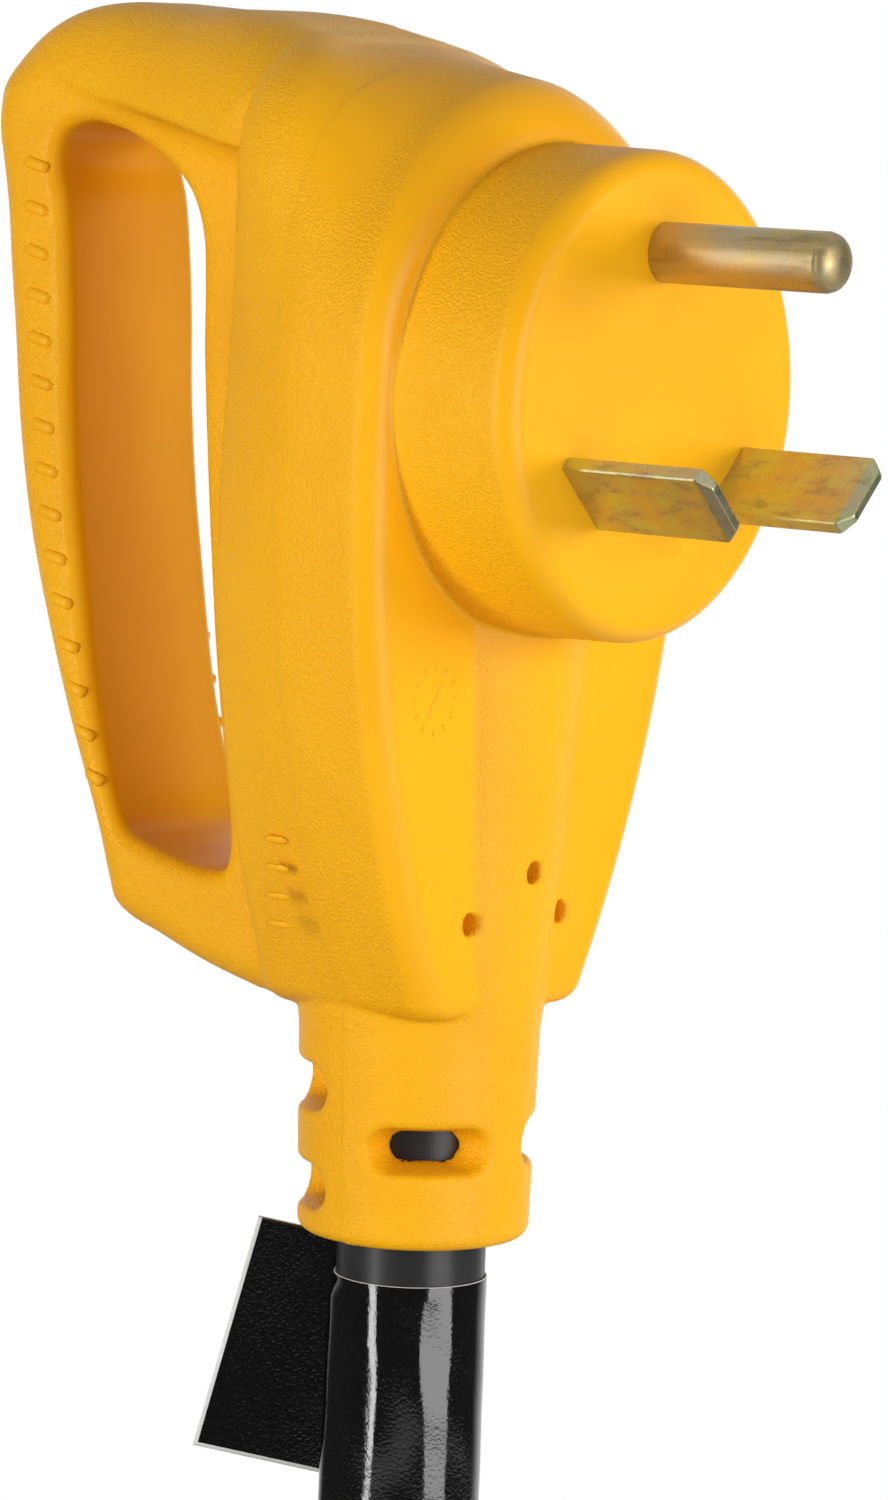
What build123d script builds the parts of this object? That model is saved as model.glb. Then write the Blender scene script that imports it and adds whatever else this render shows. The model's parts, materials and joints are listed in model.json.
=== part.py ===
from build123d import *
import math
import os

# A 30 A shore power cord: a right-angle plug with a D-handle behind its face, a heavy
# cord that hangs from the plug and lies coiled, and a locking connector on the far end.
# The origin is the centre of the plug's round face.  The blades point to -Y, the handle
# lies toward +Y, and the cord leaves the plug toward -Z.  All sizes are in millimetres.

# ---- driving dimensions ----------------------------------------------------------

# plug face and blades
face_radius = 27.0
boss_draft = 0.3
boss_depth = 16.2
boss_root = 3.0
face_rim = 2.6
pin_height = 15.95
pin_radius = 3.35
pin_reach = 23.5
pin_shank_step = 0.6
blade_offset = 13.5
blade_drop = 9.9
blade_width = 9.9
blade_thickness = 1.8
blade_reach = 18.3
blade_tilt = 45.0
blade_tip_chamfer = 2.2

# shield: the moulded body between the face and the handle
shield_half_width = 30.3
shield_front_inset = 2.1
shield_rear_inset = 5.6
shield_crown = 31.0
shield_front_crown = 28.2
shield_rear_crown = 34.0
shield_crown_base = 4.5
shield_flank_top = -5.0
shield_flank_radius = 140.0
shield_flank_middle = 0.55
shield_bottom = -70.2
shield_front_depth = 13.9
shield_rear_depth = 12.9
shield_front_edge = 4.0
shield_rear_edge = 2.0

# handle frame
handle_thickness = 24.0
handle_top = 41.0
handle_ramp_start = 32.5
handle_ramp_length = 7.0
handle_root = 19.0
handle_reach = 92.0
handle_waist_inset = 7.1
handle_waist = -6.0
handle_foot_inset = 23.6
handle_foot = -62.4
handle_outer_edge = 4.5
handle_inner_edge = 2.6
handle_corner = 11.0
handle_foot_corner = 3.0
grip_top_depth = 14.4
grip_waist_depth = 9.9
grip_foot_depth = 2.8
bar_top_height = 13.0
bar_foot_height = 7.8
web_top_depth = 12.5
web_waist_depth = 11.3
web_foot_depth = 6.5
opening_slope_top = 6.5
opening_slope_foot = 3.2
opening_corner = 5.0

# neck and strain relief
cord_diameter = 17.0
relief_wall = 5.2
relief_draft = 0.5
relief_end = -96.9
relief_rim = 1.6
neck_top = 1.3
rib_top = -6.0
rib_top_growth = 4.3
rib_foot = 2.2
rib_foot_growth = 0.7
slot_length = 12.6
slot_height = 5.2
slot_taper = 10.0
slot_level = 11.4
slot_pitch = 5.7
core_hole_radius = 1.3
core_hole_upper = -54.0
core_hole_lower = -59.4
core_hole_spread = 8.35
cut_overrun = 1.0

# moulded core and blade bridge inside the plug
over_mould_wall = 7.0
core_front_wall = 5.3
core_rear_wall = 5.0
core_collar_margin = 1.0
bridge_front = 4.5
bridge_thickness = 7.5
bridge_margin = 0.3
crimp_gap = 2.0
crimp_length = 8.0
crimp_wall = 1.3
crimp_floor = 1.5
wire_radius = 2.25
strand_radius = 1.45
bundle_radius = 2.75
jacket_top = -66.0
wire_bend = 7.0
wire_cover = 2.5
wire_straight = 10.0
wire_spread = 22.0

# cord coil and floor
lead_first_run = 64.0
lead_run = 50.0
lead_last_run = 45.0
lead_turn = 30.0
lead_swing = 10.0
coil_outer_turn = 122.5
coil_pitch = 17.0
coil_turns_per_layer = 2.7153
coil_layers = 4
coil_layer_step = 0.25
coil_edge_roundness = 0.8
tail_exit_angle = 60.0
tail_first_run = 60.0
tail_middle_run = 59.0
tail_last_run = 53.0

# labels on the lead
label_gap = 0.1
label_thickness = 0.3
label_top = -101.8
label_height = 28.6
flag_width = 25.0
flag_height = 28.0
flag_thickness = 0.5
flag_tilt = 14.0
flag_lift = 2.6
flag_shift = 11.5
flag_gap = 0.02
flag_corner = 0.8
flag_facing = (0.793, 0.609)

# connector on the far end; its own sizes run from the mouth toward the cord
connector_length = 112.0
carrier_radius = 19.0
carrier_length = 36.0
carrier_recess = 2.0
carrier_rim = 1.2
contact_circle = 10.6
contact_slot_width = 2.4
contact_slot_span = 48.0
contact_slot_depth = 20.0
contact_thickness = 1.2
contact_recess = 2.0
hub_wall = 3.6
hub_start = 9.0
flange_height = 2.8
flange_start = 16.0
flange_length = 4.0
grip_bulge = 2.9
grip_bulge_length = 6.0
grip_waist = 20.0
grip_waist_place = 24.0
grip_waist_slope = 0.15
grip_tail_radius = 22.5
grip_tail_place = 42.0
grip_tail_length = 4.0
grip_taper_length = 5.0
ring_wall = 3.2
ring_length = 30.0
ring_overhang = 4.0
ring_clearance = 0.35
ring_rim = 1.4
ring_flute_count = 12
ring_flute_radius = 4.0
ring_flute_depth = 1.1
gasket_thickness = 2.2
gasket_width = 2.4
inner_core_wall = 2.65
inner_core_length = 34.0
far_wire_straight = 0.25
far_slot_floor = 0.5

# ---- derived places --------------------------------------------------------------

deg = math.pi / 180
cord_radius = cord_diameter / 2
cord_axis_y = boss_depth + shield_front_depth
shield_rear = cord_axis_y + shield_rear_depth
handle_waist_reach = handle_reach - handle_waist_inset
handle_foot_reach = handle_reach - handle_foot_inset
neck_radius = cord_radius + relief_wall
relief_end_radius = neck_radius - relief_draft
pin_shank_radius = pin_radius - pin_shank_step
core_front = boss_depth + core_front_wall
core_rear = shield_rear - core_rear_wall
terminal_circle = math.hypot(blade_offset, blade_drop)
bridge_radius = terminal_circle + blade_width / 2 + bridge_margin
bridge_rear = bridge_front + bridge_thickness
crimp_start = bridge_rear + crimp_gap
crimp_end = crimp_start + crimp_length
crimp_radius = strand_radius + crimp_wall
core_collar_radius = terminal_circle + crimp_radius + core_collar_margin
hub_radius = carrier_radius + hub_wall
flange_radius = hub_radius + flange_height
flange_end = flange_start + flange_length
ring_bore = flange_radius + ring_clearance
ring_radius = ring_bore + ring_wall
ring_end = ring_length - ring_overhang
shoulder = ring_end + ring_clearance
inner_core_radius = contact_circle + wire_radius + inner_core_wall
core_start = carrier_recess + carrier_length
inner_core_end = core_start + inner_core_length
barrel_start = carrier_recess + contact_slot_depth


def face_plane(y):
    """A sketch plane facing -Y at the given y, with local axes along +X and +Z."""
    return Plane.XZ.offset(-y)


def shield_foot(half_width, bottom):
    """Half the width of the shield's outline at its flat foot."""
    drop = shield_flank_top - bottom
    return half_width - shield_flank_radius + math.sqrt(shield_flank_radius**2 - drop**2)


def shield_outline(half_width, crown, bottom):
    """The spade-shaped outline of the shield: oval crown, curved flanks and a flat foot."""
    foot = shield_foot(half_width, bottom)
    mid_drop = (shield_flank_top - bottom) * shield_flank_middle
    mid_width = half_width - shield_flank_radius + math.sqrt(shield_flank_radius**2 - mid_drop**2)
    mid = shield_flank_top - mid_drop
    with BuildLine() as outline:
        EllipticalCenterArc((0, shield_crown_base), half_width, crown, 0, arc_size=180)
        Line((-half_width, shield_crown_base), (-half_width, shield_flank_top))
        ThreePointArc((-half_width, shield_flank_top), (-mid_width, mid), (-foot, bottom))
        Line((-foot, bottom), (foot, bottom))
        ThreePointArc((foot, bottom), (mid_width, mid), (half_width, shield_flank_top))
        Line((half_width, shield_flank_top), (half_width, shield_crown_base))
    return outline.line


def bundle_point(index, axis_x, axis_y):
    """Where conductor 0, 1 or 2 lies in the cord: the first at the back, the others each side."""
    angle = (90 + 120 * index) * deg
    return axis_x + bundle_radius * math.cos(angle), axis_y + bundle_radius * math.sin(angle)


def tube_along(path, outer, inner=0.0):
    """A round bar, or a tube when an inner radius is given, along a path."""
    with BuildPart() as bar:
        with BuildSketch(Plane(origin=path @ 0, z_dir=path % 0)):
            Circle(outer)
            if inner:
                Circle(inner, mode=Mode.SUBTRACT)
        sweep(path=path)
    return bar.part


def cord_path(points):
    """Straight runs joined by arcs as large as their runs allow, with the arcs' radii."""
    radii = []
    for before, here, after in zip(points, points[1:], points[2:]):
        run_in = Vector(*here) - Vector(*before)
        run_out = Vector(*after) - Vector(*here)
        half_turn = run_in.get_angle(run_out) / 2 * deg
        radii.append(0.45 * min(run_in.length, run_out.length) / math.tan(half_turn))
    with BuildLine() as line:
        FilletPolyline(*points, radius=radii)
    return line.wire(), radii


# ---- places along the cord -------------------------------------------------------

lead_points = [(0, cord_axis_y, relief_end)]
lead_runs = (
    (0, lead_first_run),
    (lead_turn, lead_run),
    (2 * lead_turn, lead_run),
    (3 * lead_turn, lead_last_run),
)
swing = lead_swing * deg
for lean, run in lead_runs:
    x, y, z = lead_points[-1]
    across = run * math.sin(lean * deg)
    down = run * math.cos(lean * deg)
    lead_points.append((x - across * math.cos(swing), y - across * math.sin(swing), z - down))

coil_top_z = lead_points[-1][2]
coil_bottom_z = coil_top_z - cord_diameter * (coil_layers - 1)
floor_z = coil_bottom_z - cord_radius
coil_x = lead_points[-1][0] - coil_outer_turn * math.sin(swing)
coil_y = lead_points[-1][1] + coil_outer_turn * math.cos(swing)
coil_inner_turn = coil_outer_turn - coil_pitch * coil_turns_per_layer

exit_angle = tail_exit_angle * deg
tail_start = (
    coil_x + coil_outer_turn * math.cos(exit_angle),
    coil_y + coil_outer_turn * math.sin(exit_angle),
    coil_bottom_z,
)
connector_z = floor_z + ring_radius
tail_points = [tail_start]
tail_runs = (
    (tail_exit_angle, tail_first_run, coil_bottom_z),
    (tail_exit_angle / 2, tail_middle_run, connector_z),
    (0, tail_last_run, connector_z),
)
for heading, run, height in tail_runs:
    x, y, z = tail_points[-1]
    tail_points.append((x + run * math.sin(heading * deg), y - run * math.cos(heading * deg), height))
connector_x, cord_entry_y, _ = tail_points[-1]
mouth_y = cord_entry_y - connector_length


def station(distance):
    """The y of a place on the connector, from its distance behind the mouth."""
    return mouth_y + distance


def connector_plane(distance):
    """A plane across the connector that faces its mouth, at a distance behind it."""
    return Plane(
        origin=(connector_x, station(distance), connector_z), x_dir=(1, 0, 0), z_dir=(0, -1, 0)
    )


connector_axis = Axis((connector_x, mouth_y, connector_z), (0, 1, 0))
# half-section plane of the connector: local x is the distance behind the mouth, local y the radius
connector_section = Plane(
    origin=(connector_x, mouth_y, connector_z), x_dir=(0, 1, 0), z_dir=(1, 0, 0)
)

# ---- blades, pin and their crimps ------------------------------------------------

with BuildPart() as ground_pin:
    with BuildSketch(Plane.YZ):
        with BuildLine():
            shaft_end = -pin_reach + pin_radius
            Line((shaft_end, pin_height), (-pin_reach, pin_height))
            RadiusArc((-pin_reach, pin_height), (shaft_end, pin_height + pin_radius), pin_radius)
            Polyline(
                (shaft_end, pin_height + pin_radius),
                (0, pin_height + pin_radius),
                (0, pin_height + pin_shank_radius),
                (crimp_start, pin_height + pin_shank_radius),
                (crimp_start, pin_height),
                (shaft_end, pin_height),
            )
        make_face()
    revolve(axis=Axis((0, 0, pin_height), (0, 1, 0)))
ground_pin.part.label = "ground_pin"


def blade_section_plane(side, y):
    """A plane across one blade; local x runs across its width, tilted with the blade."""
    lean = side * blade_tilt * deg
    across = (math.sin(lean), 0, math.cos(lean))
    return Plane(origin=(side * blade_offset, y, -blade_drop), x_dir=across, z_dir=(0, -1, 0))


def make_blade(side):
    """A flat blade leaning outward at the top, its tip corners chamfered."""
    with BuildPart() as blade:
        with BuildSketch(blade_section_plane(side, crimp_start)):
            Rectangle(blade_width, blade_thickness)
        extrude(amount=crimp_start + blade_reach)
        tip = blade.faces().sort_by(Axis.Y)[0]
        short_edges = tip.edges().sort_by(SortBy.LENGTH)[:2]
        chamfer(short_edges, blade_tip_chamfer)
    return blade.part


line_blade = make_blade(-1)
neutral_blade = make_blade(1)
line_blade.label = "line_blade"
neutral_blade.label = "neutral_blade"

terminals = {
    "ground": (0, pin_height),
    "line": (-blade_offset, -blade_drop),
    "neutral": (blade_offset, -blade_drop),
}


def make_crimp(x, z):
    """A barrel that starts solid on its terminal and grips the strands in its bore."""
    with BuildPart() as crimp:
        with BuildSketch(face_plane(crimp_start)):
            with Locations((x, z)):
                Circle(crimp_radius)
        extrude(amount=-crimp_length)
        with BuildSketch(face_plane(crimp_start + crimp_floor)):
            with Locations((x, z)):
                Circle(strand_radius)
        extrude(amount=-crimp_length, mode=Mode.SUBTRACT)
    return crimp.part


crimps = {name: make_crimp(x, z) for name, (x, z) in terminals.items()}

# ---- conductors in the plug ------------------------------------------------------

wire_rise_y = core_rear - wire_radius - wire_cover


def plug_wire_path(index, x, z, end_y):
    """From the end of the jacket up the moulded core and forward to a terminal."""
    start_x, start_y = bundle_point(index, 0, cord_axis_y)
    points = [
        (start_x, start_y, jacket_top),
        (start_x, start_y, jacket_top + wire_straight),
        (x, wire_rise_y, jacket_top + wire_straight + wire_spread),
        (x, wire_rise_y, z),
        (x, end_y, z),
    ]
    with BuildLine() as line:
        FilletPolyline(*points, radius=wire_bend)
    return line.wire()


wires = {}
strands = {}
for index, (name, (x, z)) in enumerate(terminals.items()):
    wires[name] = tube_along(plug_wire_path(index, x, z, crimp_end), wire_radius, strand_radius)
    strand_end = crimp_start + crimp_floor
    strands[name] = tube_along(plug_wire_path(index, x, z, strand_end), strand_radius)

with BuildPart() as jacket_end:
    with BuildSketch(Plane.XY.offset(relief_end)):
        with Locations((0, cord_axis_y)):
            Circle(cord_radius)
    extrude(amount=jacket_top - relief_end)
jacket_end.part.label = "jacket_end"

# ---- bridge and moulded core -----------------------------------------------------

with BuildPart() as blade_bridge:
    with BuildSketch(face_plane(bridge_front)):
        Circle(bridge_radius)
        with Locations((0, pin_height)):
            Circle(pin_shank_radius, mode=Mode.SUBTRACT)
    extrude(amount=-bridge_thickness)
    for side in (-1, 1):
        with BuildSketch(blade_section_plane(side, bridge_rear)):
            Rectangle(blade_width, blade_thickness)
        extrude(amount=bridge_thickness, mode=Mode.SUBTRACT)
blade_bridge.part.label = "blade_bridge"

with BuildPart() as core_blank:
    with BuildSketch(face_plane(core_front)):
        make_face(
            shield_outline(
                shield_half_width - over_mould_wall, shield_front_crown - over_mould_wall, jacket_top
            )
        )
    extrude(amount=core_front - core_rear)
    with BuildSketch(face_plane(bridge_rear)):
        Circle(core_collar_radius)
    extrude(amount=bridge_rear - core_front)

with BuildPart() as moulded_core:
    add(core_blank.part)
    add(ground_pin.part, mode=Mode.SUBTRACT)
    add(line_blade, mode=Mode.SUBTRACT)
    add(neutral_blade, mode=Mode.SUBTRACT)
    for name in terminals:
        add(crimps[name], mode=Mode.SUBTRACT)
        add(wires[name], mode=Mode.SUBTRACT)
        add(strands[name], mode=Mode.SUBTRACT)
moulded_core.part.label = "moulded_core"

# ---- yellow over-mould: shield, handle, boss, rib and strain relief --------------

with BuildPart() as shield:
    stations = (
        (boss_depth, shield_half_width - shield_front_inset, shield_front_crown),
        (cord_axis_y, shield_half_width, shield_crown),
        (shield_rear, shield_half_width - shield_rear_inset, shield_rear_crown),
    )
    for y, half_width, crown in stations:
        with BuildSketch(face_plane(y)):
            make_face(shield_outline(half_width, crown, shield_bottom))
    loft(ruled=True)
    front_rim = shield.faces().sort_by(Axis.Y)[0].edges()
    fillet(front_rim, shield_front_edge)
    rear_rim = shield.faces().sort_by(Axis.Y)[-1].edges()
    fillet(rear_rim, shield_rear_edge)

with BuildPart() as handle:
    with BuildSketch(Plane.YZ) as handle_outline:
        with BuildLine():
            top_corner = (handle_reach, handle_top)
            foot_corner = (handle_foot_reach, handle_foot)
            root = shield_rear - handle_root
            root_foot = (root, shield_bottom + neck_top)
            Polyline(
                root_foot,
                (root, handle_ramp_start),
                (shield_rear + handle_ramp_length, handle_top),
                top_corner,
            )
            ThreePointArc(top_corner, (handle_waist_reach, handle_waist), foot_corner)
            Polyline(foot_corner, (shield_rear, shield_bottom), root_foot)
        make_face()
        fillet(handle_outline.vertices().sort_by_distance(top_corner)[0], handle_corner)
        fillet(handle_outline.vertices().sort_by_distance(foot_corner)[0], handle_foot_corner)
    extrude(amount=handle_thickness / 2, both=True)
    rims = handle.edges().filter_by(Plane.YZ).filter_by(lambda e: e.center().Y > shield_rear)
    fillet(rims, handle_outer_edge)

with BuildPart() as opening:
    with BuildSketch(Plane.YZ) as opening_outline:
        with BuildLine():
            rear_top = (handle_reach - grip_top_depth, handle_top - bar_top_height)
            rear_waist = (handle_waist_reach - grip_waist_depth, handle_waist)
            rear_foot = (handle_foot_reach - grip_foot_depth, handle_foot + bar_foot_height)
            web_top = (shield_rear + web_top_depth, rear_top[1] - opening_slope_top)
            web_waist = (shield_rear + web_waist_depth, 2 * handle_waist)
            web_foot = (shield_rear + web_foot_depth, rear_foot[1] - opening_slope_foot)
            Line(web_top, rear_top)
            ThreePointArc(rear_top, rear_waist, rear_foot)
            Line(rear_foot, web_foot)
            ThreePointArc(web_foot, web_waist, web_top)
        make_face()
        fillet(opening_outline.vertices(), opening_corner)
    extrude(amount=handle_thickness / 2, both=True)

with BuildPart() as d_handle:
    add(handle.part)
    add(opening.part, mode=Mode.SUBTRACT)
    sides = d_handle.faces().filter_by(Plane.YZ)
    mouths = [edge for side in sides for wire in side.inner_wires() for edge in wire.edges()]
    fillet(mouths, handle_inner_edge)

with BuildPart() as neck:
    with BuildSketch(Plane.XZ.offset(-cord_axis_y)):
        with BuildLine():
            Polyline(
                (0, relief_end),
                (relief_end_radius, relief_end),
                (neck_radius, shield_bottom - neck_top),
                (neck_radius + rib_foot_growth, shield_bottom + rib_foot),
                (neck_radius + rib_top_growth, rib_top),
                (0, rib_top),
                (0, relief_end),
            )
        make_face()
    revolve(axis=Axis((0, cord_axis_y, 0), (0, 0, 1)))
    foot_rim = neck.edges().group_by(Axis.Z)[0]
    fillet(foot_rim, relief_rim)

with BuildPart() as slots:
    for level, azimuths in ((1, (45, 135)), (0, (-45, -135)), (2, (-45, -135))):
        for azimuth in azimuths:
            out = (math.cos(azimuth * deg), -math.sin(azimuth * deg), 0)
            z = relief_end + slot_level + slot_pitch * (1 - level)
            start = Vector(0, cord_axis_y, z) + Vector(*out) * (neck_radius + cut_overrun)
            inward = Vector(*out) * -1
            with BuildSketch(Plane(origin=start, x_dir=(-out[1], out[0], 0), z_dir=inward)):
                SlotOverall(slot_length, slot_height)
            extrude(amount=relief_wall + 2 * cut_overrun, taper=slot_taper)

with BuildPart() as grip_body:
    add(shield.part)
    add(d_handle.part)
    add(neck.part)
    with BuildSketch(face_plane(0)):
        Circle(face_radius)
    extrude(amount=-boss_depth - boss_root, taper=-boss_draft)
    face_edge = grip_body.faces().sort_by(Axis.Y)[0].edges()
    fillet(face_edge, face_rim)
    add(slots.part, mode=Mode.SUBTRACT)
    add(jacket_end.part, mode=Mode.SUBTRACT)
    add(core_blank.part, mode=Mode.SUBTRACT)
    with BuildSketch(face_plane(bridge_front)):
        Circle(bridge_radius)
    extrude(amount=-bridge_thickness, mode=Mode.SUBTRACT)
    add(ground_pin.part, mode=Mode.SUBTRACT)
    add(line_blade, mode=Mode.SUBTRACT)
    add(neutral_blade, mode=Mode.SUBTRACT)
    with BuildSketch(face_plane(0)):
        lower = core_hole_lower
        with Locations((0, core_hole_upper), (-core_hole_spread, lower), (core_hole_spread, lower)):
            Circle(core_hole_radius)
    extrude(amount=-core_front, mode=Mode.SUBTRACT)
grip_body.part.label = "grip_body"

# ---- the free cord ---------------------------------------------------------------

lead_path, lead_radii = cord_path(lead_points)
tail_path, tail_radii = cord_path(tail_points)
cord_lead = tube_along(lead_path, cord_radius)
cord_tail = tube_along(tail_path, cord_radius)
cord_lead.label = "cord_lead"
cord_tail.label = "cord_tail"

with BuildPart() as cord_coil:
    with BuildSketch(Plane.XY.offset(floor_z)):
        with Locations((coil_x, coil_y)):
            Circle(coil_outer_turn + cord_radius)
            Circle(coil_inner_turn - cord_radius, mode=Mode.SUBTRACT)
    extrude(amount=cord_diameter * coil_layers)
    fillet(cord_coil.edges().filter_by(GeomType.CIRCLE), cord_radius * coil_edge_roundness)
cord_coil.part.label = "cord_coil"

# ---- labels on the lead ----------------------------------------------------------

label_radius = cord_radius + label_gap + label_thickness
with BuildPart() as label_wrap:
    with BuildSketch(Plane.XY.offset(label_top)):
        with Locations((0, cord_axis_y)):
            Circle(label_radius)
            Circle(cord_radius + label_gap, mode=Mode.SUBTRACT)
    extrude(amount=-label_height)
label_wrap.part.label = "label_wrap"

flag_along = Vector(-flag_facing[1], flag_facing[0], 0)
flag_out = Vector(*flag_facing, 0)
flag_middle = (
    Vector(0, cord_axis_y, label_top - label_height / 2 + flag_lift)
    + flag_out * (label_radius + flag_thickness / 2 + flag_gap)
    + flag_along * flag_shift
)
lean = flag_tilt * deg
flag_across = flag_along * math.cos(lean) + Vector(0, 0, 1) * math.sin(lean)
with BuildPart() as label_flag:
    with BuildSketch(Plane(origin=flag_middle, x_dir=flag_across, z_dir=flag_out)):
        RectangleRounded(flag_width, flag_height, flag_corner)
    extrude(amount=flag_thickness / 2, both=True)
label_flag.part.label = "label_flag"

# ---- connector on the far end ----------------------------------------------------

contact_angles = {"ground": 90, "line": 210, "neutral": 330}


def contact_place(name):
    """Where a contact's crimp barrel lies across the connector, from its axis."""
    angle = contact_angles[name] * deg
    return contact_circle * math.cos(angle), contact_circle * math.sin(angle)


def contact_sector(name, radius, width):
    """An arc-shaped slot about the connector's axis, in the open sketch."""
    start = contact_angles[name] - contact_slot_span / 2
    with BuildLine(mode=Mode.PRIVATE) as middle:
        CenterArc((0, 0), radius, start, contact_slot_span)
    SlotArc(middle.wire(), width)


with BuildPart() as contact_carrier:
    with BuildSketch(connector_plane(carrier_recess)):
        Circle(carrier_radius)
    extrude(amount=-carrier_length)
    fillet(contact_carrier.faces().sort_by(Axis.Y)[0].edges(), carrier_rim)
    with BuildSketch(connector_plane(carrier_recess)):
        for name in contact_angles:
            contact_sector(name, contact_circle, contact_slot_width)
    extrude(amount=-contact_slot_depth, mode=Mode.SUBTRACT)
    with BuildSketch(connector_plane(barrel_start)):
        for name in contact_angles:
            with Locations(contact_place(name)):
                Circle(crimp_radius)
    extrude(amount=barrel_start - core_start, mode=Mode.SUBTRACT)
contact_carrier.part.label = "contact_carrier"


def make_contact(name):
    """A curved strip on the outer wall of its slot, with a crimp barrel behind it."""
    with BuildPart() as contact:
        with BuildSketch(connector_plane(carrier_recess + contact_recess)):
            wall = (contact_slot_width - contact_thickness) / 2
            contact_sector(name, contact_circle + wall, contact_thickness)
        extrude(amount=contact_recess - contact_slot_depth)
        with BuildSketch(connector_plane(barrel_start)):
            with Locations(contact_place(name)):
                Circle(crimp_radius)
        extrude(amount=barrel_start - core_start)
        with BuildSketch(connector_plane(core_start)):
            with Locations(contact_place(name)):
                Circle(strand_radius)
        extrude(amount=crimp_length, mode=Mode.SUBTRACT)
    return contact.part


def connector_wire_path(index, name, start):
    """From a contact's barrel inward to the conductor's place in the cord."""
    barrel_x, barrel_z = contact_place(name)
    end_x, end_z = bundle_point(index, 0, 0)
    wire_run = inner_core_length * far_wire_straight
    points = (
        (connector_x + barrel_x, station(start), connector_z + barrel_z),
        (connector_x + barrel_x, station(core_start + wire_run), connector_z + barrel_z),
        (connector_x + end_x, station(inner_core_end - wire_run), connector_z + end_z),
        (connector_x + end_x, station(inner_core_end), connector_z + end_z),
    )
    with BuildLine() as line:
        FilletPolyline(*points, radius=wire_bend)
    return line.wire()


contacts = {name: make_contact(name) for name in contact_angles}
far_wires = {}
far_strands = {}
for index, name in enumerate(contact_angles):
    insulation_path = connector_wire_path(index, name, core_start)
    strand_path = connector_wire_path(index, name, core_start - crimp_length)
    far_wires[name] = tube_along(insulation_path, wire_radius, strand_radius)
    far_strands[name] = tube_along(strand_path, strand_radius)

with BuildPart() as connector_core:
    with BuildSketch(connector_plane(core_start)):
        Circle(inner_core_radius)
    extrude(amount=-inner_core_length)
    for name in contact_angles:
        add(far_wires[name], mode=Mode.SUBTRACT)
        add(far_strands[name], mode=Mode.SUBTRACT)
connector_core.part.label = "connector_core"

with BuildPart() as connector_jacket_end:
    with BuildSketch(connector_plane(inner_core_end)):
        Circle(cord_radius)
    extrude(amount=inner_core_end - connector_length)
connector_jacket_end.part.label = "connector_jacket_end"

bulge_end = shoulder + grip_bulge_length
bulge_radius = hub_radius + grip_bulge
tail_grip = shoulder + grip_tail_place
relief_start = tail_grip + grip_tail_length + grip_taper_length

with BuildPart() as connector_body:
    with BuildSketch(connector_section):
        with BuildLine():
            Polyline(
                (hub_start, 0),
                (hub_start, hub_radius),
                (flange_start, hub_radius),
                (flange_start, flange_radius),
                (flange_end, flange_radius),
                (flange_end, hub_radius),
                (shoulder, hub_radius),
                (shoulder, bulge_radius),
                (bulge_end, bulge_radius),
            )
            Spline(
                (bulge_end, bulge_radius),
                (shoulder + grip_waist_place, grip_waist),
                (tail_grip, grip_tail_radius),
                tangents=((1, -grip_waist_slope), (1, grip_waist_slope)),
            )
            Polyline(
                (tail_grip, grip_tail_radius),
                (tail_grip + grip_tail_length, grip_tail_radius),
                (relief_start, neck_radius),
                (connector_length, relief_end_radius),
                (connector_length, 0),
                (hub_start, 0),
            )
        make_face()
    revolve(axis=connector_axis)
    tail_rim = connector_body.edges().filter_by(GeomType.CIRCLE).sort_by(Axis.Y)[-1]
    fillet(tail_rim, relief_rim)
    with BuildSketch(connector_plane(0)):
        Circle(carrier_radius)
    extrude(amount=-core_start, mode=Mode.SUBTRACT)
    with BuildSketch(connector_plane(core_start)):
        Circle(inner_core_radius)
    extrude(amount=-inner_core_length, mode=Mode.SUBTRACT)
    add(connector_jacket_end.part, mode=Mode.SUBTRACT)
    relief_middle = (connector_length + relief_start) / 2
    slot_cut = relief_wall + cut_overrun - far_slot_floor
    for level, tilt in ((-1, 0), (0, 90), (1, 0)):
        for side in (0, 180):
            angle = (tilt + side) * deg
            out = Vector(math.cos(angle), 0, math.sin(angle))
            centre = Vector(connector_x, station(relief_middle + level * slot_pitch), connector_z)
            start = centre + out * (neck_radius + cut_overrun)
            across = (-math.sin(angle), 0, math.cos(angle))
            with BuildSketch(Plane(origin=start, x_dir=across, z_dir=out * -1)):
                SlotOverall(slot_length, slot_height)
            extrude(amount=slot_cut, taper=slot_taper, mode=Mode.SUBTRACT)
connector_body.part.label = "connector_body"

with BuildPart() as locking_ring:
    with BuildSketch(connector_plane(-ring_overhang)):
        Circle(ring_radius)
    extrude(amount=-ring_length)
    ring_rims = locking_ring.edges().filter_by(GeomType.CIRCLE)
    fillet(ring_rims, ring_rim)
    with BuildSketch(connector_plane(-ring_overhang)):
        flute_place = ring_radius + ring_flute_radius - ring_flute_depth
        with PolarLocations(flute_place, ring_flute_count, start_angle=180 / ring_flute_count):
            Circle(ring_flute_radius)
    extrude(amount=-ring_length, mode=Mode.SUBTRACT)
    with BuildSketch(connector_plane(-ring_overhang)):
        Circle(ring_bore)
    extrude(amount=-(ring_overhang + flange_end + ring_clearance), mode=Mode.SUBTRACT)
    with BuildSketch(connector_plane(0)):
        Circle(hub_radius + ring_clearance)
    extrude(amount=-ring_end - cut_overrun, mode=Mode.SUBTRACT)
locking_ring.part.label = "locking_ring"

with BuildPart() as mouth_gasket:
    with BuildSketch(connector_plane(hub_start)):
        Circle(carrier_radius + gasket_width)
        Circle(carrier_radius, mode=Mode.SUBTRACT)
    extrude(amount=gasket_thickness)
mouth_gasket.part.label = "mouth_gasket"

# ---- labels, files and printed checks --------------------------------------------

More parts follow.
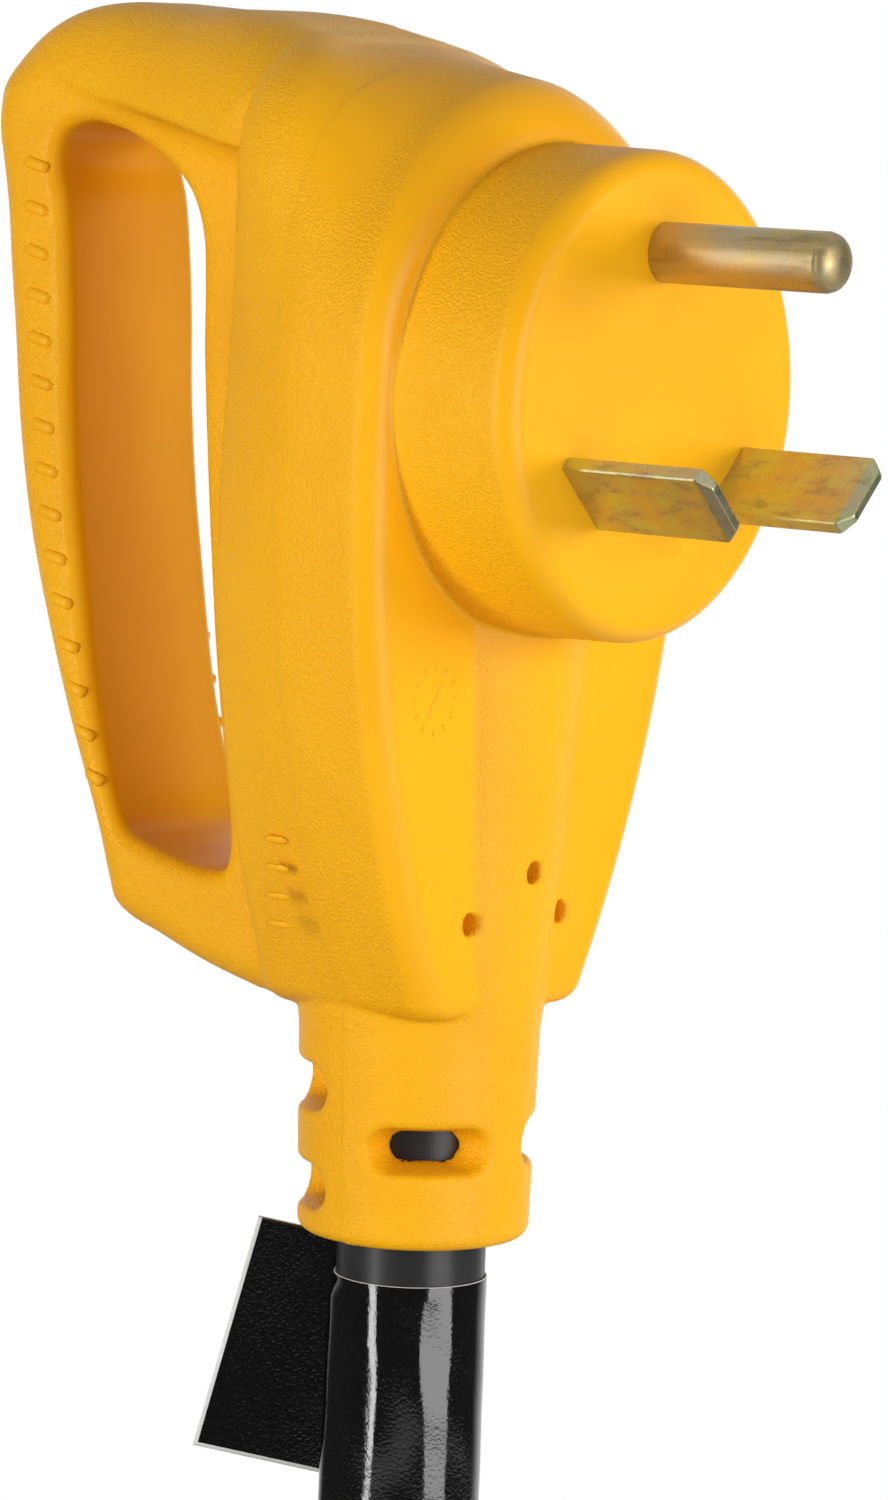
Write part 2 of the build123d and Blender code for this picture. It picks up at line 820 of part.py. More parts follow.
pieces = {
    "grip_body": grip_body.part,
    "moulded_core": moulded_core.part,
    "blade_bridge": blade_bridge.part,
    "ground_pin": ground_pin.part,
    "line_blade": line_blade,
    "neutral_blade": neutral_blade,
    "jacket_end": jacket_end.part,
    "cord_lead": cord_lead,
    "cord_coil": cord_coil.part,
    "cord_tail": cord_tail,
    "label_wrap": label_wrap.part,
    "label_flag": label_flag.part,
    "contact_carrier": contact_carrier.part,
    "connector_core": connector_core.part,
    "connector_jacket_end": connector_jacket_end.part,
    "connector_body": connector_body.part,
    "locking_ring": locking_ring.part,
    "mouth_gasket": mouth_gasket.part,
}
for name in terminals:
    pieces[f"{name}_crimp"] = crimps[name]
    pieces[f"{name}_wire"] = wires[name]
    pieces[f"{name}_strands"] = strands[name]
    pieces[f"{name}_contact"] = contacts[name]
    pieces[f"connector_{name}_wire"] = far_wires[name]
    pieces[f"connector_{name}_strands"] = far_strands[name]

os.makedirs("parts", exist_ok=True)
for name, piece in pieces.items():
    piece.label = name
    export_step(piece, f"parts/{name}.step")

section = math.pi * cord_radius**2
for name, path, radii in (("lead", lead_path, lead_radii), ("tail", tail_path, tail_radii)):
    volume = pieces[f"cord_{name}"].volume
    print(name, "radii", [round(r, 1) for r in radii], "length", round(path.length, 1))
    print(name, "volume over section times length", round(volume / (section * path.length), 5))
mean_turn = (coil_outer_turn + coil_inner_turn) / 2
coil_turns = coil_layers * coil_turns_per_layer + (coil_layers - 1) * coil_layer_step
coil_length = 2 * math.pi * mean_turn * coil_turns
print("coil turns", coil_turns, "length", round(coil_length, 1), "inner turn", coil_inner_turn)
print("cord length", round(coil_length + lead_path.length + tail_path.length, 1))
print("floor at", round(floor_z, 2), "coil centre", round(coil_x, 2), round(coil_y, 2))
print("tail from", [round(v, 2) for v in tail_start], "mouth at", round(mouth_y, 2))
print("connector axis at", round(connector_x, 2), round(connector_z, 2))
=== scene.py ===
import json
import math

import bmesh
import bpy
import numpy as np
from mathutils import Matrix, Vector

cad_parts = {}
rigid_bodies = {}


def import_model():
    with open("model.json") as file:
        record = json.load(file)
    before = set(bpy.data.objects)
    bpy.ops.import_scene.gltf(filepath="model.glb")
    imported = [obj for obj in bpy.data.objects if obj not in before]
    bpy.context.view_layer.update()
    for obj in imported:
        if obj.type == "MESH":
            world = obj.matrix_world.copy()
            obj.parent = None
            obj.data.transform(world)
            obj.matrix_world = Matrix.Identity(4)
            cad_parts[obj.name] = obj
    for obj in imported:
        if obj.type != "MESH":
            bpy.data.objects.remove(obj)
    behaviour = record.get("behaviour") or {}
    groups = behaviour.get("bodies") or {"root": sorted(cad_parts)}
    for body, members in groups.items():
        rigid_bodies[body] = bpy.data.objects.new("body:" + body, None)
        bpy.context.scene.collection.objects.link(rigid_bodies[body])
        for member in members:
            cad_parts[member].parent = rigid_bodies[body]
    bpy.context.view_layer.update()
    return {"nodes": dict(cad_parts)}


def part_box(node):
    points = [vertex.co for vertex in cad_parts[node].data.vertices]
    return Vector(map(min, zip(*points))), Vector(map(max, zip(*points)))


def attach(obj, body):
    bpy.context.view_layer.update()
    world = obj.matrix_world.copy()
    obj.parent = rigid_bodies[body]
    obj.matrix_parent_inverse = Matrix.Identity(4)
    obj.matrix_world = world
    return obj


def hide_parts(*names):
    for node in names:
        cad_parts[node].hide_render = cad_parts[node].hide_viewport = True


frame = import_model()
scene = bpy.context.scene
mm = 0.001

# camera
cameraSettings = {
    "azimuth": -52.716, "elevation": 6.735, "roll": 2.025,
    "right": -0.023603, "up": -0.038408, "back": 0.682602, "lens": 149.9,
}


def makeCamera(s):
    azimuth, elevation, roll = (math.radians(s[k]) for k in ("azimuth", "elevation", "roll"))
    back = Vector((math.sin(azimuth) * math.cos(elevation), -math.cos(azimuth) * math.cos(elevation), math.sin(elevation)))
    levelRight = Vector((math.cos(azimuth), math.sin(azimuth), 0))
    levelUp = back.cross(levelRight)
    right = levelRight * math.cos(roll) + levelUp * math.sin(roll)
    up = levelUp * math.cos(roll) - levelRight * math.sin(roll)
    data = bpy.data.cameras.new("mainCamera")
    data.lens = s["lens"]
    camera = bpy.data.objects.new("mainCamera", data)
    scene.collection.objects.link(camera)
    place = right * s["right"] + up * s["up"] + back * s["back"]
    camera.matrix_world = Matrix.Translation(place) @ Matrix((right, up, back)).transposed().to_4x4()
    scene.camera = camera


makeCamera(cameraSettings)
print("camera placed")

# materials
def startMaterial(name):
    material = bpy.data.materials.new(name)
    material.use_nodes = True
    tree = material.node_tree
    return material, tree, tree.nodes["Principled BSDF"]


def addNode(tree, kind, settings=None, **inputs):
    node = tree.nodes.new(kind)
    for key, value in (settings or {}).items():
        setattr(node, key, value)
    for key, value in inputs.items():
        socket = node.inputs[int(key[2:])] if key.startswith("in") and key[2:].isdigit() else node.inputs[key]
        if isinstance(value, bpy.types.NodeSocket):
            tree.links.new(value, socket)
        else:
            socket.default_value = value
    return node


def stretchedPlace(tree, stretch):
    # object coordinates, scaled per axis so that a pattern runs along one of them
    place = addNode(tree, "ShaderNodeTexCoord")
    return addNode(tree, "ShaderNodeMapping", Vector=place.outputs["Object"], Scale=stretch).outputs["Vector"]


def noiseAt(tree, place, scale, detail=2, rough=0.5):
    return addNode(tree, "ShaderNodeTexNoise", Vector=place, Scale=scale, Detail=detail, Roughness=rough).outputs["Fac"]


def toRange(tree, value, low, high, toLow, toHigh):
    settings = {"interpolation_type": "SMOOTHSTEP"}
    return addNode(tree, "ShaderNodeMapRange", settings, in0=value, in1=low, in2=high, in3=toLow, in4=toHigh).outputs[0]


def multiply(tree, first, second):
    return addNode(tree, "ShaderNodeMath", {"operation": "MULTIPLY"}, in0=first, in1=second).outputs[0]


def mixColours(tree, amount, first, second):
    node = addNode(tree, "ShaderNodeMix", {"data_type": "RGBA"}, in0=amount)
    for socket, colour in ((node.inputs[6], first), (node.inputs[7], second)):
        if isinstance(colour, bpy.types.NodeSocket):
            tree.links.new(colour, socket)
        else:
            socket.default_value = (*colour, 1)
    return node.outputs[2]


def bumpFrom(tree, height, strength, distance, normal=None):
    node = addNode(tree, "ShaderNodeBump", Height=height, Strength=strength, Distance=distance)
    if normal:
        tree.links.new(normal, node.inputs["Normal"])
    return node.outputs["Normal"]


def fromScreen(red, green, blue):
    # a colour as a screen shows it, 0 to 255, to the linear value that a shader takes
    return tuple((c / 255 / 12.92) if c <= 10 else (((c / 255) + 0.055) / 1.055) ** 2.4 for c in (red, green, blue))


plasticSettings = {
    "paler": fromScreen(250, 180, 14), "deeper": fromScreen(244, 172, 8),
    "grainSize": 0.00034, "grainDepth": 0.00009, "smoothRough": 0.36, "grainRough": 0.46,
    "seamWidth": 0.00016, "seamPlane": 0.030,
}


def mouldedPlastic(name, s, seam=True, grainFromMesh=True, fineness=1.0):
    material, tree, shader = startMaterial(name)
    place = stretchedPlace(tree, (1, 1, 1))
    cloudy = noiseAt(tree, place, 38, 3)
    tint = mixColours(tree, toRange(tree, cloudy, 0.3, 0.7, 0, 1), s["deeper"], s["paler"])
    grain = noiseAt(tree, place, fineness / s["grainSize"], 1.5, 0.45)
    pebble = toRange(tree, grain, 0.36, 0.66, 0, 1)
    if grainFromMesh:
        amount = addNode(tree, "ShaderNodeAttribute", {"attribute_name": "grain"}).outputs["Fac"]
        pebble = multiply(tree, pebble, amount)
        shine = toRange(tree, amount, 0, 1, s["smoothRough"], s["grainRough"])
    else:
        shine = toRange(tree, cloudy, 0.3, 0.7, s["grainRough"] - 0.05, s["grainRough"])
    # painted light: the pebbles' tops are painted paler and the dimples deeper, a painted highlight on the tops and
    # painted shade in the dimples
    tint = mixColours(tree, multiply(tree, pebble, 0.35), tint, s["paler"])
    normal = bumpFrom(tree, pebble, 0.8, s["grainDepth"])
    ripple = noiseAt(tree, place, 160, 1)
    normal = bumpFrom(tree, ripple, 0.06, 0.0004, normal)
    if seam:
        split = addNode(tree, "ShaderNodeSeparateXYZ", Vector=place)
        off = addNode(tree, "ShaderNodeMath", {"operation": "SUBTRACT"}, in0=split.outputs[1], in1=s["seamPlane"]).outputs[0]
        off = addNode(tree, "ShaderNodeMath", {"operation": "ABSOLUTE"}, in0=off).outputs[0]
        line = toRange(tree, off, 0, s["seamWidth"], 1, 0)
        normal = bumpFrom(tree, line, 0.35, 0.00012, normal)
    tree.links.new(tint, shader.inputs["Base Color"])
    tree.links.new(shine, shader.inputs["Roughness"])
    tree.links.new(normal, shader.inputs["Normal"])
    shader.inputs["Specular IOR Level"].default_value = 0.3
    return material


def platedMetal(name, base, warm, dark, along, rough, streak):
    # base metal with stains: warm patches, dark veins and fine lines along one axis
    material, tree, shader = startMaterial(name)
    even = stretchedPlace(tree, (1, 1, 1))
    drawn = stretchedPlace(tree, along)
    patches = noiseAt(tree, even, 240, 4, 0.6)
    speckle = noiseAt(tree, even, 2600, 2)
    veins = noiseAt(tree, drawn, 520, 4, 0.65)
    tint = mixColours(tree, toRange(tree, patches, 0.42, 0.6, 0, 1), base, warm)
    tint = mixColours(tree, multiply(tree, toRange(tree, veins, 0.52, 0.68, 0, 1), streak), tint, dark)
    tint = mixColours(tree, multiply(tree, toRange(tree, speckle, 0.55, 0.75, 0, 1), 0.3), tint, dark)
    shine = toRange(tree, veins, 0.3, 0.7, rough, rough + 0.16)
    normal = bumpFrom(tree, veins, 0.3, 0.00003)
    normal = bumpFrom(tree, speckle, 0.25, 0.00002, normal)
    tree.links.new(tint, shader.inputs["Base Color"])
    tree.links.new(shine, shader.inputs["Roughness"])
    tree.links.new(normal, shader.inputs["Normal"])
    shader.inputs["Metallic"].default_value = 1
    return material


def rubberyFinish(name, colour, lighter, rough, lines, size, specular=0.4):
    # extruded or moulded soft plastic: cloudy colour, fine lines along its length
    material, tree, shader = startMaterial(name)
    even = stretchedPlace(tree, (1, 1, 1))
    drawn = stretchedPlace(tree, lines)
    cloudy = noiseAt(tree, even, 60, 3)
    fine = noiseAt(tree, even, 1 / size, 2)
    threads = noiseAt(tree, drawn, 900, 2)
    tint = mixColours(tree, toRange(tree, cloudy, 0.3, 0.7, 0, 1), colour, lighter)
    shine = toRange(tree, cloudy, 0.25, 0.75, rough - 0.04, rough + 0.08)
    normal = bumpFrom(tree, fine, 0.22, 0.00004)
    normal = bumpFrom(tree, threads, 0.12, 0.00003, normal)
    tree.links.new(tint, shader.inputs["Base Color"])
    tree.links.new(shine, shader.inputs["Roughness"])
    tree.links.new(normal, shader.inputs["Normal"])
    shader.inputs["Specular IOR Level"].default_value = specular
    return material


bodyPlastic = mouldedPlastic("bodyPlastic", plasticSettings)
connectorPlastic = mouldedPlastic("connectorPlastic", plasticSettings, seam=False, grainFromMesh=False, fineness=0.9)
markPlastic = mouldedPlastic("markPlastic", dict(plasticSettings, grainRough=0.42, grainDepth=0.00002), seam=False, grainFromMesh=False)
bladeMetal = platedMetal("bladeMetal", (0.60, 0.66, 0.38), (0.62, 0.57, 0.36), (0.31, 0.24, 0.18), (1, 0.5, 1), 0.34, 0.45)
pinMetal = platedMetal("pinMetal", (0.62, 0.49, 0.22), (0.56, 0.47, 0.29), (0.28, 0.20, 0.11), (1, 0.12, 1), 0.42, 0.45)
contactMetal = platedMetal("contactMetal", (0.60, 0.46, 0.20), (0.52, 0.40, 0.20), (0.3, 0.2, 0.1), (1, 0.2, 1), 0.28, 0.5)
copperMetal = platedMetal("copperMetal", (0.72, 0.36, 0.22), (0.66, 0.30, 0.18), (0.35, 0.15, 0.1), (1, 1, 0.15), 0.3, 0.4)
jacketVinyl = rubberyFinish("jacketVinyl", fromScreen(36, 36, 37), fromScreen(46, 46, 47), 0.32, (1, 1, 0.04), 0.0007)
coreVinyl = rubberyFinish("coreVinyl", fromScreen(20, 20, 21), fromScreen(28, 28, 29), 0.5, (1, 1, 1), 0.0005)
carrierPlastic = rubberyFinish("carrierPlastic", fromScreen(28, 28, 29), fromScreen(38, 38, 39), 0.42, (1, 0.1, 1), 0.0004)
gasketRubber = rubberyFinish("gasketRubber", fromScreen(38, 38, 38), fromScreen(50, 49, 48), 0.62, (1, 1, 1), 0.0003, 0.3)
bridgeNylon = rubberyFinish("bridgeNylon", fromScreen(214, 208, 190), fromScreen(224, 219, 204), 0.45, (1, 1, 1), 0.0005)
greenSheath = rubberyFinish("greenSheath", fromScreen(28, 110, 52), fromScreen(36, 124, 60), 0.4, (1, 1, 0.1), 0.0006)
blackSheath = rubberyFinish("blackSheath", fromScreen(30, 30, 31), fromScreen(40, 40, 41), 0.4, (1, 1, 0.1), 0.0006)
whiteSheath = rubberyFinish("whiteSheath", fromScreen(222, 222, 216), fromScreen(232, 231, 226), 0.4, (1, 1, 0.1), 0.0006)
labelEdge = rubberyFinish("labelEdge", fromScreen(205, 205, 203), fromScreen(225, 225, 224), 0.45, (1, 1, 1), 0.0004)


def glossyLabel(name, colour, lighter, rough):
    material, tree, shader = startMaterial(name)
    place = stretchedPlace(tree, (1, 1, 1))
    skin = noiseAt(tree, place, 2600, 2, 0.5)
    crease = noiseAt(tree, stretchedPlace(tree, (1, 1, 0.25)), 130, 2)
    tint = mixColours(tree, toRange(tree, skin, 0.4, 0.65, 0, 1), colour, lighter)
    shine = toRange(tree, skin, 0.3, 0.7, rough, rough + 0.04)
    normal = bumpFrom(tree, skin, 0.5, 0.00003)
    normal = bumpFrom(tree, crease, 0.2, 0.0004, normal)
    tree.links.new(tint, shader.inputs["Base Color"])
    tree.links.new(shine, shader.inputs["Roughness"])
    tree.links.new(normal, shader.inputs["Normal"])
    shader.inputs["Specular IOR Level"].default_value = 0.9
    return material


labelVinyl = glossyLabel("labelVinyl", fromScreen(5, 5, 5), fromScreen(12, 12, 12), 0.05)
print("materials made")

# the yellow plug body: one smooth field in millimetres, below zero inside, turned into a mesh
bodySettings = {
    "grid": 0.55, "halfWidth": 30.3, "faceRadius": 27.0, "bossDraft": 0.02, "bossRim": 2.6,
    "crownBase": 4.5, "crownHeight": 31.5, "crownRise": 0.18, "crownPinch": 0.035,
    "flankRadius": 140.0, "flankStart": -5.0, "frontPlane": 15.5, "frontLean": 0.025, "frontEdge": 3.5, "frontEdgeTop": 2.2, "shoulder": 14.5,
    "rearPlane": 43.0, "rearEdge": 2.0, "widestAt": 26.0, "rearInset": 6.8, "frontInset": 0.0,
    "shieldBottom": -70.2, "bottomEdge": 2.0,
    "cordAxis": 30.1, "neckLevels": (-96.9, -73.0, -68.0, -54.0, -28.0, -6.0), "neckRadii": (13.2, 13.75, 14.4, 15.6, 17.5, 18.2),
    "neckRim": 1.6, "bore": 8.56, "slotLevel": -85.5, "slotPitch": 5.7, "slotOuter": (7.0, 2.7), "slotInner": (3.8, 1.65), "slotEdge": 0.65,
    "coreHoles": ((0, -54), (-8.35, -59.4), (8.35, -59.4)), "coreHoleRadius": 1.3,
    "handleHalf": 12.0, "handleEdge": 4.5, "handleTopEdge": 8.5, "flareStart": 80.0, "flareWidth": 10.5, "flareRound": 6.0, "flareLevel": 25.0, "flareSlope": 0.18,
    "flareEdge": 1.2, "flareFillet": 7.0, "fingerEdge": 2.2, "seamStep": 0.1,
}
# side outline of the handle, then of its finger opening: (distance behind the face, height)
handleOutline = (
    (34, 20), (37, 36.3), (43.5, 38.9), (49.3, 40.1), (55.1, 40.6), (61, 40.5), (67, 40.8), (73, 41), (79, 40.2), (83.6, 38.2),
    (87.4, 35), (89.5, 31.4), (89.3, 27.5), (88.3, 23), (87.3, 17.5), (86.4, 9), (85.7, 3.3), (84.5, -8.3), (82.4, -20),
    (79.2, -31.2), (75.3, -42.5), (70.9, -53.7), (69, -59.6), (67.9, -62.4), (65.6, -64.1), (61, -65.7), (55.5, -67.7),
    (49, -69.5), (41, -71), (34, -70), (31, -60), (30, -20),
)
openingOutline = (
    (76.9, 18), (75.7, 6.7), (75.2, -4.7), (74.1, -16.2), (73.1, -23), (71.7, -32), (70.4, -39), (68.6, -45.8), (66.8, -51.4),
    (65.2, -53.8), (62.2, -55.1), (59.1, -56), (53.1, -57), (50.6, -56.6), (49.8, -54), (50.8, -45.7), (51.7, -40.1),
    (52.9, -31.6), (53.8, -23.1), (54.6, -14.7), (55.3, -6.2), (55.9, 2.2), (56.1, 10), (56.6, 15.5), (58.4, 19.8), (61.6, 22.9),
    (65.6, 25.2), (69.6, 26.7), (74, 27.2), (77.2, 25.8), (78, 22.5),
)


def roundMax(first, second, radius):
    # the larger of two fields, its edge rounded to a radius
    return np.minimum(-radius, np.maximum(first, second)) + np.hypot(np.maximum(first + radius, 0), np.maximum(second + radius, 0))


def roundMin(first, second, radius):
    return -roundMax(-first, -second, radius)


def smoothStep(value, low, high):
    t = np.clip((value - low) / (high - low), 0, 1)
    return t * t * (3 - 2 * t)


def smoothLoop(corners, steps=6):
    # a closed curve through the corners that doesn't overshoot at short sides
    p = np.array(corners, float)
    before, after, beyond = np.roll(p, 1, 0), np.roll(p, -1, 0), np.roll(p, -2, 0)
    spans = [np.sqrt(np.linalg.norm(b - a, axis=1))[:, None] for a, b in ((before, p), (p, after), (after, beyond))]
    rows = []
    for k in range(steps):
        t = spans[0] + spans[1] * k / steps
        t1, t2, t3 = spans[0], spans[0] + spans[1], spans[0] + spans[1] + spans[2]
        a1 = (t1 - t) / t1 * before + t / t1 * p
        a2 = (t2 - t) / (t2 - t1) * p + (t - t1) / (t2 - t1) * after
        a3 = (t3 - t) / (t3 - t2) * after + (t - t2) / (t3 - t2) * beyond
        b1 = (t2 - t) / t2 * a1 + t / t2 * a2
        b2 = (t3 - t) / (t3 - t1) * a2 + (t - t1) / (t3 - t1) * a3
        rows.append((t2 - t) / (t2 - t1) * b1 + (t - t1) / (t2 - t1) * b2)
    return np.stack(rows, 1).reshape(-1, 2)


class FlatDistance:
    # distance to a closed side outline, kept on a fine raster and read between its points
    def __init__(self, corners, low=(18.0, -102.0), high=(98.0, 46.0), step=0.3):
        loop = smoothLoop(corners)
        self.low, self.step = np.array(low), step
        ys, zs = np.arange(low[0], high[0], step), np.arange(low[1], high[1], step)
        y, z = np.meshgrid(ys, zs, indexing="ij")
        nearest = np.full(y.shape, 1e9)
        inside = np.zeros(y.shape, bool)
        for (y1, z1), (y2, z2) in zip(loop, np.roll(loop, -1, 0)):
            dy, dz = y2 - y1, z2 - z1
            t = np.clip(((y - y1) * dy + (z - z1) * dz) / (dy * dy + dz * dz), 0, 1)
            nearest = np.minimum(nearest, (y - y1 - t * dy) ** 2 + (z - z1 - t * dz) ** 2)
            crosses = (z1 > z) != (z2 > z)
            if crosses.any():
                inside ^= crosses & (y < y1 + (z - z1) * dy / (dz if dz else 1e-9))
        self.table = np.where(inside, -1, 1) * np.sqrt(nearest)

    def at(self, y, z):
        u = np.clip((y - self.low[0]) / self.step, 0, self.table.shape[0] - 1.001)
        v = np.clip((z - self.low[1]) / self.step, 0, self.table.shape[1] - 1.001)
        i, j = u.astype(int), v.astype(int)
        fu, fv, t = u - i, v - j, self.table
        return (t[i, j] * (1 - fu) + t[i + 1, j] * fu) * (1 - fv) + (t[i, j + 1] * (1 - fu) + t[i + 1, j + 1] * fu) * fv


handleShape, openingShape = FlatDistance(handleOutline), FlatDistance(openingOutline)


def shieldField(ax, y, z, s):
    behind = np.clip((y - s["widestAt"]) / (s["rearPlane"] - s["widestAt"]), 0, 1.2)
    ahead = np.clip((s["widestAt"] - y) / 9, 0, 1.6)
    inset = np.clip(s["rearInset"] + 0.08 * (z - s["flankStart"]), 1.2, 8) * behind ** 1.7 + s["frontInset"] * ahead ** 2
    drop = np.clip(s["flankStart"] - z, 0, 0.9 * s["flankRadius"])
    lean = np.sqrt(s["flankRadius"] ** 2 - drop ** 2)
    low = (ax - (s["halfWidth"] - (s["flankRadius"] - lean) - inset)) * lean / s["flankRadius"]
    high = np.maximum(z - s["crownBase"], 1e-6)
    wide, tall = ax / (s["halfWidth"] - inset), high / (s["crownHeight"] + s["crownRise"] * (y - 30))
    size = np.hypot(wide, tall) + 1e-9
    pinch = 1 - s["crownPinch"] * (2 * wide * tall / size ** 2) ** 2
    crown = np.hypot(ax, high) * (1 - pinch / size)
    # towards the rear the crown turns into an upright side with a rounded shoulder
    square = roundMax(ax - (s["halfWidth"] - inset), z - s["crownBase"] - s["crownHeight"] - s["crownRise"] * (y - 30), s["shoulder"])
    crown = crown + (square - crown) * smoothStep(y, 21, 42)
    outline = np.where(z > s["crownBase"], crown, low)
    front = s["frontPlane"] - s["frontLean"] * z - y
    shield = roundMax(outline, front, s["frontEdge"] + s["frontEdgeTop"] * smoothStep(z, 8, 32))
    shield = roundMax(shield, y - s["rearPlane"], s["rearEdge"])
    return roundMax(shield, s["shieldBottom"] - z, s["bottomEdge"])


def neckField(x, y, z, s):
    reach = np.hypot(x, y - s["cordAxis"])
    neck = roundMax(reach - np.interp(z, s["neckLevels"], s["neckRadii"]), s["neckLevels"][0] - z, s["neckRim"])
    neck = np.maximum(neck, z - s["neckLevels"][-1])
    near = z < -70
    for azimuth, level in ((45, 0), (-45, 0), (135, 1), (-135, 1), (135, -1), (-135, -1)):
        turn = math.radians(azimuth)
        out = x * math.sin(turn) - (y - s["cordAxis"]) * math.cos(turn)
        across = x * math.cos(turn) + (y - s["cordAxis"]) * math.sin(turn)
        flare = np.clip((reach - s["bore"]) / (s["neckRadii"][0] - s["bore"]), 0, 1.3) ** 1.1
        radius = s["slotInner"][1] + (s["slotOuter"][1] - s["slotInner"][1]) * flare
        length = s["slotInner"][0] + (s["slotOuter"][0] - s["slotInner"][0]) * flare - radius
        slot = np.hypot(np.maximum(np.abs(across) - length, 0), z - s["slotLevel"] - level * s["slotPitch"]) - radius
        slot = np.maximum(slot, 5 - out)
        neck = np.where(near, roundMax(neck, -slot, s["slotEdge"]), neck)
    return neck, reach


def bodyField(x, y, z, s=bodySettings):
    ax = np.abs(x)
    shield = shieldField(ax, y, z, s)
    high = smoothStep(z, 24, 36)
    handle = roundMax(handleShape.at(y, z), ax - s["handleHalf"], s["handleEdge"] + (s["handleTopEdge"] - s["handleEdge"]) * high)
    # the top bar widens towards the plug, and its underside sweeps back into the bar
    share = np.clip((s["flareStart"] - y) / (s["flareStart"] - s["rearPlane"]), 0, 1)
    flare = roundMax(handleShape.at(y, z), ax - (s["handleHalf"] + s["flareWidth"] * share ** 1.5), s["handleTopEdge"] + s["flareRound"] * share)
    under = s["flareLevel"] + s["flareSlope"] * (y - s["rearPlane"])
    flare = roundMax(flare, under - z, s["flareEdge"])
    handle = roundMin(handle, flare, 0.05 + s["flareFillet"] * share * (1 - smoothStep(z, under + 1, under + 5)))
    handle = roundMax(handle, -openingShape.at(y, z), s["fingerEdge"])
    body = roundMin(shield, handle, 1.6 - 1.35 * smoothStep(z, 14, 24))
    neck, reach = neckField(x, y, z, s)
    body = roundMin(body, neck, 0.25)
    boss = roundMax(np.hypot(ax, z) - (s["faceRadius"] + s["bossDraft"] * y), -y, s["bossRim"])
    body = roundMin(body, np.maximum(boss, y - 24), 0.35)
    for hx, hz in s["coreHoles"]:
        hole = np.maximum(np.hypot(x - hx, z - hz) - s["coreHoleRadius"], y - 20.5)
        body = roundMax(body, -hole, 0.35)
    bore = np.maximum(reach - s["bore"], z + 74)
    body = np.maximum(body, -bore)
    return body + s["seamStep"] * smoothStep(y, 29.85, 30.15) * (y < 46)


def fieldNormal(points, field, step=0.02):
    x, y, z = points.T
    g = np.stack([
        field(x + step, y, z) - field(x - step, y, z),
        field(x, y + step, z) - field(x, y - step, z),
        field(x, y, z + step) - field(x, y, z - step),
    ], 1)
    return g / np.maximum(np.linalg.norm(g, axis=1), 1e-9)[:, None], np.linalg.norm(g, axis=1) / (2 * step)


def settle(points, field, rounds=3):
    # points move along the field's slope until they lie on its surface
    for _ in range(rounds):
        normal, slope = fieldNormal(points, field)
        move = np.clip(field(*points.T) / np.maximum(slope, 0.4), -0.3, 0.3)
        points = points - normal * move[:, None]
    return points


def meshFromField(field, low, high, step):
    axes = [np.arange(a, b + step, step) for a, b in zip(low, high)]
    x, y, z = np.meshgrid(*axes, indexing="ij", sparse=True)
    shape = tuple(len(a) for a in axes)
    values = np.empty(shape, np.float32)
    slab = 12
    for k in range(0, shape[0], slab):
        xs = x[k:k + slab]
        full = np.broadcast_arrays(xs, y, z)
        values[k:k + slab] = field(*full)
    inside = values < 0
    # one vertex in each cell that the surface passes through, at the middle of its crossings
    cells = np.zeros(tuple(n - 1 for n in shape), np.uint8)
    corners = [(i, j, k) for i in (0, 1) for j in (0, 1) for k in (0, 1)]
    for i, j, k in corners:
        cells += inside[i:shape[0] - 1 + i, j:shape[1] - 1 + j, k:shape[2] - 1 + k]
    at = np.argwhere((cells > 0) & (cells < 8))
    index = np.full(cells.shape, -1, np.int64)
    index[tuple(at.T)] = np.arange(len(at))
    total, count = np.zeros((len(at), 3)), np.zeros(len(at))
    for a in corners:
        for axis in range(3):
            if a[axis]:
                continue
            b = tuple(1 if n == axis else c for n, c in enumerate(a))
            va = values[tuple((at + a).T)].astype(float)
            vb = values[tuple((at + b).T)].astype(float)
            cross = (va < 0) != (vb < 0)
            t = np.where(cross, va / np.where(cross, va - vb, 1), 0)
            spot = np.array(a, float) + np.outer(t, np.array(b) - np.array(a))
            total += np.where(cross[:, None], spot, 0)
            count += cross
    vertices = np.array(low) + (at + total / count[:, None]) * step
    faces = []
    for axis in range(3):
        u, v = (axis + 1) % 3, (axis + 2) % 3
        lowSide = inside.take(range(0, shape[axis] - 1), axis)
        highSide = inside.take(range(1, shape[axis]), axis)
        for start, ends in ((lowSide & ~highSide, False), (~lowSide & highSide, True)):
            edge = np.argwhere(start)
            edge = edge[(edge[:, u] > 0) & (edge[:, v] > 0)]
            ring = []
            for du, dv in ((0, 0), (1, 0), (1, 1), (0, 1)):
                cell = edge.copy()
                cell[:, u] -= du
                cell[:, v] -= dv
                ring.append(index[tuple(cell.T)])
            ring = np.stack(ring[::-1] if ends else ring, 1)
            faces.append(ring[(ring >= 0).all(1)])
    return vertices, np.concatenate(faces)


def meshObject(name, vertices, faces, material, smooth=True):
    data = bpy.data.meshes.new(name)
    data.vertices.add(len(vertices))
    data.vertices.foreach_set("co", np.asarray(vertices, np.float32).ravel())
    faces = np.asarray(faces, np.int32)
    data.loops.add(faces.size)
    data.loops.foreach_set("vertex_index", faces.ravel())
    data.polygons.add(len(faces))
    data.polygons.foreach_set("loop_start", np.arange(0, faces.size, faces.shape[1], dtype=np.int32))
    data.polygons.foreach_set("loop_total", np.full(len(faces), faces.shape[1], np.int32))
    data.update(calc_edges=True)
    data.validate()
    if smooth:
        data.shade_smooth()
    data.materials.append(material)
    piece = bpy.data.objects.new(name, data)
    scene.collection.objects.link(piece)
    return piece


